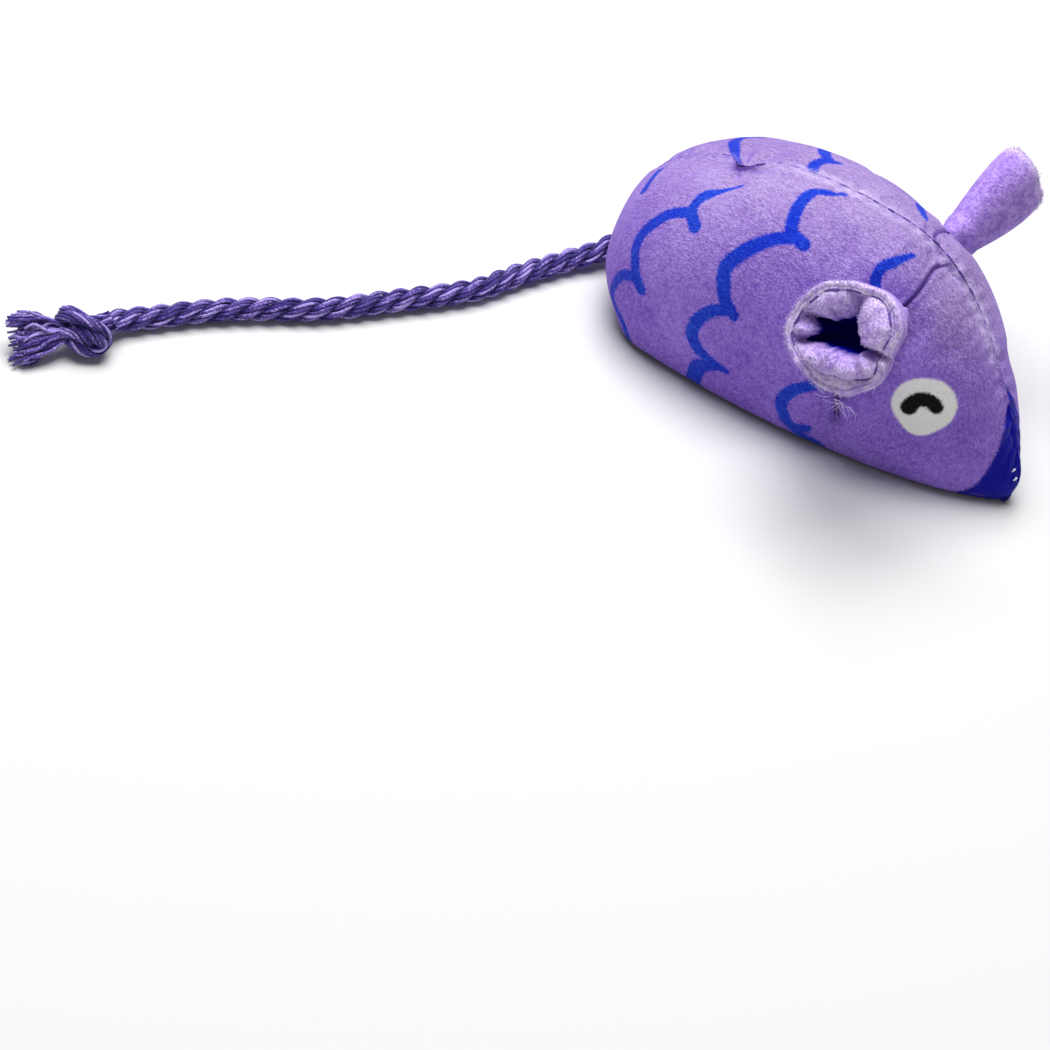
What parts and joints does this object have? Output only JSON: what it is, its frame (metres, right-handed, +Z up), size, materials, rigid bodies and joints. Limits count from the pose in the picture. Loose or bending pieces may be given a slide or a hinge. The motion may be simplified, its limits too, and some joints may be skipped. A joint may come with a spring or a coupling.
{
  "type": "catnip mouse toy",
  "caption": "Stuffed plush mouse for cats with cupped ears sewn into darts, a printed face and a knotted twisted rope tail.",
  "frame": {"origin": "on the floor under the middle of the body", "axes": "+X towards the nose, +Y towards the mouse's left side, +Z up"},
  "size_m": [0.1619, 0.1596, 0.0529],
  "materials": {
    "plush": "short-pile printed plush, lilac with blue scallop lines, white eyes and a dark blue nose",
    "ear_plush": "paler brushed back of the same plush",
    "thread": "lilac polyester sewing thread",
    "rope": "purple twisted cotton rope, matt",
    "pouch_cloth": "unbleached muslin bag of dried herb",
    "fibre_fill": "white crimped fibre stuffing"
  },
  "bodies": {
    "body": {"side_panel_right": "plush", "side_panel_left": "plush", "base_panel": "plush", "spine_thread": "thread", "closing_thread": "thread", "base_thread_right": "thread", "base_thread_left": "thread", "catnip_pouch": "pouch_cloth", "stuffing": "fibre_fill", "tail_anchor": "rope"},
    "ear_right": {"ear_right_outer": "plush", "ear_right_lining": "ear_plush", "ear_right_stitch": "thread"},
    "ear_left": {"ear_left_outer": "plush", "ear_left_lining": "ear_plush", "ear_left_stitch": "thread"},
    "tail_base": {"tail_root": "rope"},
    "tail": {"tail_rope": "rope", "tail_knot": "rope", "tail_tassel": "rope"}
  },
  "joints": [
    {"name": "ear_right_fold", "type": "hinge", "parent": "body", "child": "ear_right", "pos_m": [0.01839, -0.01868, 0.03577], "axis": [0, 0.393, 0.9195], "range_deg": [-40, 40], "stiffness_Nm_per_rad": 0.003},
    {"name": "ear_left_fold", "type": "hinge", "parent": "body", "child": "ear_left", "pos_m": [0.01312, 0.02052, 0.03532], "axis": [0, 0.3702, -0.929], "range_deg": [-40, 40], "stiffness_Nm_per_rad": 0.003},
    {"name": "tail_swing", "type": "hinge", "parent": "body", "child": "tail_base", "pos_m": [-0.04686, 0, 0.0048], "axis": [0, 0, 1], "range_deg": [-130, 15]},
    {"name": "tail_lift", "type": "hinge", "parent": "tail_base", "child": "tail", "pos_m": [-0.05233, -0.01269, 0.00275], "axis": [-0.9112, 0.412, 0], "range_deg": [0, 70]}
  ]
}
